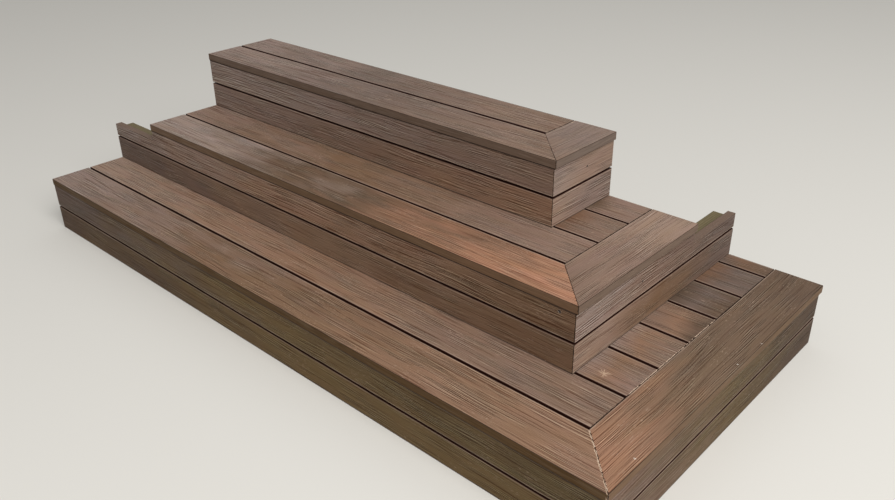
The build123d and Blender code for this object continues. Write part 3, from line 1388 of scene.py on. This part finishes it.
@dataclass
class SawChips:
    """The chips along the mitre of a step and along the cut ends of its short boards."""

    step: Step
    mitre: Slivers = Slivers(turn_from=-1.2, turn_to=-0.4)
    ends: Slivers = Slivers(
        turn_from=math.pi / 2 - 0.12, turn_to=math.pi / 2 + 0.12, length_mm=9.0, width_mm=1.8, height_mm=0.8,
        spacing_mm=5.0, spread_mm=0.6, clump_mm=28.0, bareness=0.45,
    )
    chipped_boards: Sequence[int] = (2, 3, 4)
    clear_of_arris_mm: float = 3.0

    def build(self) -> None:
        """Strews the chips along the cuts."""
        step = self.step
        clear = self.clear_of_arris_mm * MM
        inner = Vector((step.right - step.board, step.front + step.board, step.top))
        outer = Vector((step.right - clear, step.front + clear, step.top))
        corner = [Seat(inner, UP), Seat(outer, UP)]
        self.mitre.build(f"{step.name}_mitre_chips", corner, TORN_FIBRE, "nosing_board")
        seats = []
        for number in self.chipped_boards:
            low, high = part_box(f"{step.name}_tread_board_{number}")
            seats.append(Seat(Vector((high.x, low.y + clear, high.z)), UP))
            seats.append(Seat(Vector((high.x, high.y - clear, high.z)), UP))
        self.ends.build(f"{step.name}_board_end_chips", seats, TORN_FIBRE, "tread_board")


# Studio

@dataclass(frozen=True)
class ViewPoint:
    """The camera, at the place and angle that the steps are seen from, its angles in degrees."""

    place: Triple = (1.77752, -1.64020, 1.39826)
    heading: float = 42.8575
    dip: float = 28.3157
    roll: float = -0.7801
    lens_mm: float = 34.66
    sensor_mm: float = 36.0

    def build(self) -> None:
        """Adds the camera and makes it the scene's own."""
        data = bpy.data.cameras.new("view")
        data.lens = self.lens_mm
        data.sensor_width = self.sensor_mm
        data.clip_start = 0.05
        data.clip_end = 100.0
        camera = bpy.data.objects.new("view", data)
        bpy.context.scene.collection.objects.link(camera)
        turn = Matrix.Rotation(math.radians(self.heading), 4, "Z")
        tilt = Matrix.Rotation(math.radians(90 - self.dip), 4, "X")
        lean = Matrix.Rotation(math.radians(self.roll), 4, "Z")
        camera.matrix_world = Matrix.Translation(self.place) @ turn @ tilt @ lean
        bpy.context.scene.camera = camera


@dataclass(frozen=True)
class Studio:
    """A plain pale floor under a soft dome, with one large soft box high at the right front."""

    floor_half: float = 30.0
    floor_seen: str = "#dcd9d2"
    floor_bounce: str = "#6f6d68"
    backdrop: str = "#e6e4df"
    horizon: float = 0.218
    zenith: float = 0.655
    key_place: Triple = (6.1, -2.6, 6.3)
    key_side: float = 6.0
    key_watts: float = 790.0

    def build(self) -> None:
        """Adds the floor, the dome and the soft box."""
        self._floor()
        self._dome()
        data = bpy.data.lights.new("key_box", "AREA")
        data.shape = "SQUARE"
        data.size = self.key_side
        data.energy = self.key_watts
        lamp = bpy.data.objects.new("key_box", data)
        bpy.context.scene.collection.objects.link(lamp)
        aim = Vector((0.0, 0.0, 0.2)) - Vector(self.key_place)
        turn = aim.to_track_quat("-Z", "Y").to_matrix().to_4x4()
        lamp.matrix_world = Matrix.Translation(self.key_place) @ turn

    def _floor(self) -> None:
        """A wide plane at the foot of the steps, pale to the camera and darker in what it throws back."""
        mesh = bpy.data.meshes.new("floor")
        reach = self.floor_half
        corners = [(-reach, -reach, 0), (reach, -reach, 0), (reach, reach, 0), (-reach, reach, 0)]
        mesh.from_pydata(corners, [], [(0, 1, 2, 3)])
        floor = bpy.data.objects.new("floor", mesh)
        bpy.context.scene.collection.objects.link(floor)
        material, tree = new_material("plain_pale_floor")
        path = add_node(tree, "ShaderNodeLightPath")
        seen = self._seen(tree, path)
        colour = add_node(tree, MIX, {
            "Factor": seen, "A": linear(self.floor_bounce), "B": linear(self.floor_seen),
        }, data_type="RGBA")
        shader = add_node(tree, "ShaderNodeBsdfDiffuse", {"Color": colour})
        add_node(tree, "ShaderNodeOutputMaterial", {"Surface": shader})
        mesh.materials.append(material)

    def _seen(self, tree: NodeTree, path: Node) -> Node:
        """Finds what is seen, so that it can be paler than what lights the steps.

        Args:
            tree: The floor's or the dome's tree.
            path: The Light Path node.

        Returns:
            The node that gives 1 on what the camera sees directly, in a reflection or through glass.
        """
        direct = add_node(tree, MATH, {
            0: path.outputs["Is Camera Ray"], 1: path.outputs["Is Glossy Ray"],
        }, operation="MAXIMUM")
        return add_node(tree, MATH, {
            0: direct, 1: path.outputs["Is Transmission Ray"],
        }, operation="MAXIMUM")

    def _dome(self) -> None:
        """An even dome that is brighter overhead, and a pale backdrop where it is seen."""
        world = bpy.data.worlds.new("soft_dome")
        world.use_nodes = True
        tree = world.node_tree
        tree.nodes.clear()
        path = add_node(tree, "ShaderNodeLightPath")
        aim = add_node(tree, "ShaderNodeTexCoord").outputs["Generated"]
        apart = add_node(tree, "ShaderNodeSeparateXYZ", {0: aim})
        level = add_node(tree, MAP_RANGE, {
            "Value": apart.outputs["Z"], "To Min": self.horizon, "To Max": self.zenith,
        })
        light = add_node(tree, "ShaderNodeBackground", {"Strength": level})
        seen = add_node(tree, "ShaderNodeBackground", {"Color": linear(self.backdrop), "Strength": 1.0})
        mixed = add_node(tree, "ShaderNodeMixShader", {0: self._seen(tree, path), 1: light, 2: seen})
        add_node(tree, "ShaderNodeOutputWorld", {"Surface": mixed})
        bpy.context.scene.world = world


def clear_start_scene() -> None:
    """Removes everything that isn't the frame."""
    kept = set(frame["nodes"].values()) | set(frame["bodies"].values())
    for thing in list(bpy.data.objects):
        if thing not in kept:
            bpy.data.objects.remove(thing)


def bottom_boards(step: Step) -> Boards:
    """Sets out the bottom step's boards: warm browns, risers with painted green light, a torn mitre and
    scuffs.

    Args:
        step: The bottom step.

    Returns:
        Its boards.
    """
    return Boards(step, {
        # Toward the back, boards 5 to 7 and the far ends of side nosing and side risers are partly painted
        # shade
        "front_nosing": Look(Tone.DRIFTWOOD, Tone.CHESTNUT, Tone.ROSEWOOD, grain=1.1, figure=1.2),
        "side_nosing": Look(Tone.CEDAR, Tone.LOAM, Tone.UMBER, grain=0.66, figure=1.0),
        "tread_board_1": Look(Tone.SILVERED, Tone.ROSEWOOD, Tone.FAWN, grain=1.05, figure=1.0),
        "tread_board_2": Look(Tone.DRIFTWOOD, Tone.ROSEWOOD, Tone.TAUPE, grain=0.75, figure=0.3),
        "tread_board_3": Look(Tone.DRIFTWOOD, Tone.ROSEWOOD, Tone.FAWN, grain=1.0, figure=0.6),
        "tread_board_4": Look(Tone.FAWN, Tone.ROSEWOOD, Tone.UMBER, grain=1.0, figure=0.6),
        "tread_board_5": Look(Tone.BARK, Tone.WALNUT, Tone.UMBER, grain=0.9, figure=0.4),
        "tread_board_6": Look(Tone.RUSSET, Tone.WALNUT, Tone.WALNUT, grain=0.7, figure=0.3),
        "tread_board_7": Look(Tone.WALNUT, Tone.RUSSET, Tone.UMBER, grain=0.7, figure=0.3),
        # The risers' olive tones are painted green bounce light from grass
        "front_riser_lower": Look(Tone.UMBER, Tone.DAMP, Tone.DAMP, grain=0.9, figure=0.7),
        "front_riser_upper": Look(Tone.WALNUT, Tone.DAMP, Tone.MOSSY, grain=1.4, figure=1.0),
        "side_riser_lower": Look(Tone.FAWN, Tone.MOSSY, Tone.BARK, grain=1.0, figure=0.5),
        "side_riser_upper": Look(Tone.FAWN, Tone.MOSSY, Tone.BARK, grain=1.0, figure=0.5),
    }, seed=1.0, edge_colours={"front_nosing": "#594225", "side_nosing": "#775f49"}, mitre={
        "front_nosing": (CutLine(*step.mitre, width_mm=5.5, colour=TORN, amount=0.85, sparseness=0.62),),
        "side_nosing": (CutLine(*step.mitre, width_mm=3.4, colour=DIRT_AND_SHADE, amount=0.85, sparseness=0.3),),
    }, scuffs={
        "tread_board_2": (Scuff(step.on_top(224.0, 323.0), radius_mm=30.0, amount=0.72, colour=TORN),),
        "side_nosing": (
            Scuff(step.on_top(16.5, 122.0), radius_mm=6.5, amount=1.0, colour=BARE),
            Scuff(step.on_top(8.5, 562.0), radius_mm=6.0, amount=1.0, colour=BARE),
            Scuff(step.on_top(4.0, 680.0), radius_mm=5.5, amount=1.0, colour=BARE),
        ),
    })


def middle_boards(step: Step) -> Boards:
    """Sets out the middle step's boards: greyer at both ends, the upper front riser strongly figured.

    Args:
        step: The middle step.

    Returns:
        Its boards.
    """
    return Boards(step, {
        # Its grey left end is partly painted reflection, the sheen of a glancing view
        "front_nosing": Look(Tone.ASH, Tone.PEAT, Tone.TERRACOTTA, grain=0.9, figure=0.6),
        "side_nosing": Look(Tone.FAWN, Tone.TAUPE, Tone.SILVERED, grain=0.55, figure=0.4),
        "tread_board_1": Look(Tone.TAUPE, Tone.CHESTNUT, Tone.TAUPE, grain=1.05, figure=0.5),
        "tread_board_2": Look(Tone.RUSSET, Tone.FAWN, Tone.FAWN, grain=0.8, figure=0.3),
        "tread_board_3": Look(Tone.PEAT, Tone.TAUPE, Tone.TAUPE, grain=0.7, figure=0.2),
        "front_riser_lower": Look(Tone.WALNUT, Tone.SEPIA, Tone.CHESTNUT, grain=0.7, figure=0.2),
        "front_riser_upper": Look(Tone.ASH, Tone.HAZEL, Tone.CHESTNUT, grain=1.9, figure=2.2),
        "side_riser_lower": Look(Tone.SILVERED, Tone.CHESTNUT, Tone.WALNUT, grain=0.65, figure=0.1),
        "side_riser_upper": Look(Tone.ASH, Tone.TAUPE, Tone.WALNUT, grain=1.3, figure=0.4),
    }, seed=21.0, edge_colours={"front_nosing": "#705842", "side_nosing": "#756355"}, mitre={
        "front_nosing": (CutLine(*step.mitre, width_mm=3.0, colour=DIRT_AND_SHADE, amount=0.8, sparseness=0.4),),
        "side_nosing": (CutLine(*step.mitre, width_mm=2.5, colour=TORN, amount=0.4, sparseness=1.1),),
    }, soiled_mm=2.5)


def top_boards(step: Step) -> Boards:
    """Sets out the top step's boards: the greyest, with the side's grain worn soft.

    Args:
        step: The top step.

    Returns:
        Its boards.
    """
    return Boards(step, {
        "front_nosing": Look(Tone.DRIFTWOOD, Tone.WALNUT, Tone.FAWN, grain=1.7, figure=1.2),
        "side_nosing": Look(Tone.FAWN, Tone.DUSTY, Tone.DUSTY, grain=0.3, figure=0.1),
        "tread_board_1": Look(Tone.DRIFTWOOD, Tone.WALNUT, Tone.FAWN, grain=1.4, figure=0.5),
        "front_riser_lower": Look(Tone.DRIFTWOOD, Tone.FAWN, Tone.ROSEWOOD, grain=1.1, figure=0.9),
        "front_riser_upper": Look(Tone.ASH, Tone.DRIFTWOOD, Tone.FAWN, grain=1.0, figure=0.7),
        "side_riser_lower": Look(Tone.SILVERED, Tone.DRIFTWOOD, Tone.DRIFTWOOD, grain=0.65, figure=0.25),
        "side_riser_upper": Look(Tone.ASH, Tone.SILVERED, Tone.SILVERED, grain=0.25, figure=0.05),
    }, seed=31.0, edge_colours={"front_nosing": "#6b584a", "side_nosing": "#736459"}, mitre={
        "front_nosing": (CutLine(*step.mitre, width_mm=3.0, colour=DIRT_AND_SHADE, amount=0.8, sparseness=0.5),),
        "side_nosing": (CutLine(*step.mitre, width_mm=2.5, colour=TORN, amount=0.5, sparseness=1.0),),
    }, scuffs={
        "side_nosing": (Scuff(step.on_top(133.0, 255.0), radius_mm=8.0, amount=0.9, colour=TORN),),
    }, line_mm=2.6, soiled_mm=4.4)


def main() -> None:
    """Builds the studio and the steps."""
    logging.basicConfig(level=logging.INFO, format="%(name)s: %(message)s", force=True)
    clear_start_scene()
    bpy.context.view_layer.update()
    bpy.context.scene.view_settings.view_transform = "Standard"
    ViewPoint().build()
    Studio().build()
    bottom, middle, top = steps = tuple(Step.read(name) for name in STEP_NAMES)
    bottom_boards(bottom).dress()
    middle_boards(middle).dress()
    top_boards(top).dress()
    TimberFrame(steps).build()
    BoardFixings(steps).build()
    SawChips(bottom).build()


if __name__ == "__main__":
    main()
